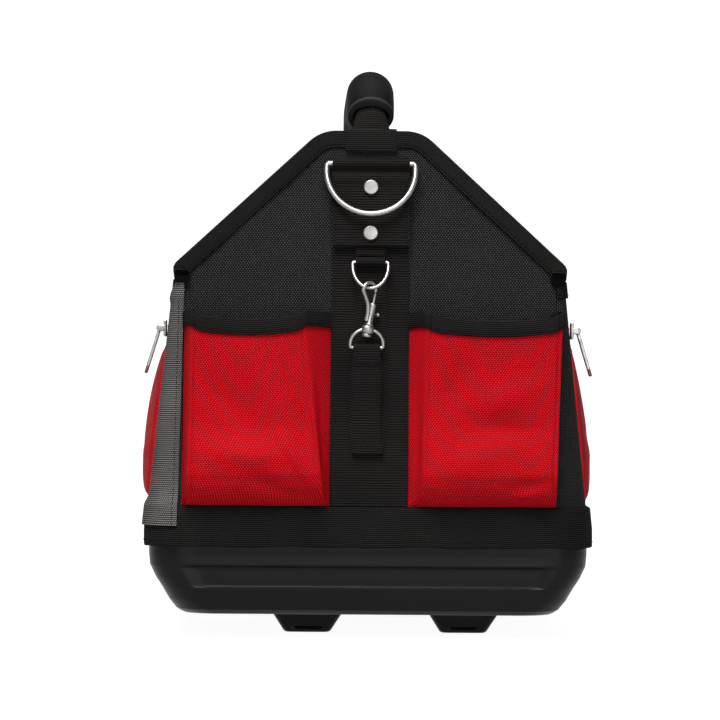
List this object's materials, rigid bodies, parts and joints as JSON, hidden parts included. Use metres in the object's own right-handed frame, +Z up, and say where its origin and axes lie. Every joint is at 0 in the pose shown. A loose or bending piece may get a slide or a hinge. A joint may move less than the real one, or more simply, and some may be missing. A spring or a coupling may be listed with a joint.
{
  "type": "open top tool tote",
  "caption": "Open top tool tote with a moulded tray base, leaning cloth walls, outer pockets, a tubular carry handle and a trigger snap strap.",
  "frame": {"origin": "centre of the bounding box's footprint, at the undersides of the feet", "axes": "+X to the right of someone who faces the front end, +Y along the tote from the front end to the back end, +Z up"},
  "size_m": [0.304, 0.425, 0.3712],
  "materials": {
    "black_cloth": "coarse ballistic weave, dull",
    "red_cloth": "coarse ballistic weave with a slight sheen",
    "binding": "ribbed grosgrain",
    "black_webbing": "ribbed webbing",
    "grey_webbing": "flat webbing",
    "tray_plastic": "moulded, fine satin grain",
    "red_plastic": "moulded, satin",
    "nickel": "satin nickel plate",
    "grip_rubber": "soft, matte, lightly grained"
  },
  "bodies": {
    "tote": {"base_tray": "tray_plastic", "foot_front_left": "tray_plastic", "foot_front_right": "tray_plastic", "foot_middle_left": "tray_plastic", "foot_middle_right": "tray_plastic", "foot_back_left": "tray_plastic", "foot_back_right": "tray_plastic", "bottom_band": "binding", "left_wall": "black_cloth", "right_wall": "black_cloth", "left_edge_binding": "binding", "right_edge_binding": "binding", "left_side_pocket": "red_cloth", "right_side_pocket": "red_cloth", "left_zip": "binding", "right_zip": "binding", "left_zip_slider": "nickel", "right_zip_slider": "nickel", "front_corner_webbing": "grey_webbing", "back_corner_webbing": "grey_webbing", "front_panel": "black_cloth", "back_panel": "black_cloth", "front_edge_binding": "binding", "back_edge_binding": "binding", "front_top_tab": "binding", "back_top_tab": "binding", "front_center_webbing": "black_webbing", "back_center_webbing": "black_webbing", "front_ring_patch": "black_webbing", "back_ring_patch": "black_webbing", "front_upper_rivet": "nickel", "front_lower_rivet": "nickel", "back_upper_rivet": "nickel", "back_lower_rivet": "nickel", "front_left_pocket": "red_cloth", "front_right_pocket": "red_cloth", "back_left_pocket": "red_cloth", "back_right_pocket": "red_cloth", "front_left_pocket_binding": "binding", "front_right_pocket_binding": "binding", "back_left_pocket_binding": "binding", "back_right_pocket_binding": "binding", "small_ring_loop": "black_webbing", "small_ring": "nickel", "snap_hook": "nickel", "snap_eye": "nickel", "tape_strap": "black_webbing", "handle_tube": "binding", "handle_grip": "grip_rubber"},
    "front_ring": {"front_d_ring": "nickel"},
    "back_ring": {"back_d_ring": "nickel"},
    "plunger": {"snap_plunger": "nickel"},
    "latch": {"base_latch": "red_plastic"},
    "left_pull": {"left_zip_pull": "nickel"},
    "right_pull": {"right_zip_pull": "nickel"}
  },
  "joints": [
    {"name": "front_ring_hinge", "type": "hinge", "parent": "tote", "child": "front_ring", "pos_m": [0, -0.18378, 0.30712], "axis": [-1, 0, 0], "range_deg": [0, 150]},
    {"name": "back_ring_hinge", "type": "hinge", "parent": "tote", "child": "back_ring", "pos_m": [0, 0.18378, 0.30712], "axis": [1, 0, 0], "range_deg": [0, 150]},
    {"name": "plunger_slide", "type": "slide", "parent": "tote", "child": "plunger", "axis": [-0.1942, 0, -0.981], "range_m": [0, 0.004], "stiffness_N_per_m": 150},
    {"name": "latch_slide", "type": "slide", "parent": "tote", "child": "latch", "axis": [-1, 0, 0], "range_m": [0, 0.006], "stiffness_N_per_m": 150},
    {"name": "left_pull_hinge", "type": "hinge", "parent": "tote", "child": "left_pull", "pos_m": [-0.13751, -0.1335, 0.19995], "axis": [0, 1, 0], "range_deg": [0, 120]},
    {"name": "right_pull_hinge", "type": "hinge", "parent": "tote", "child": "right_pull", "pos_m": [0.13751, -0.1335, 0.19995], "axis": [0, -1, 0], "range_deg": [0, 120]}
  ]
}
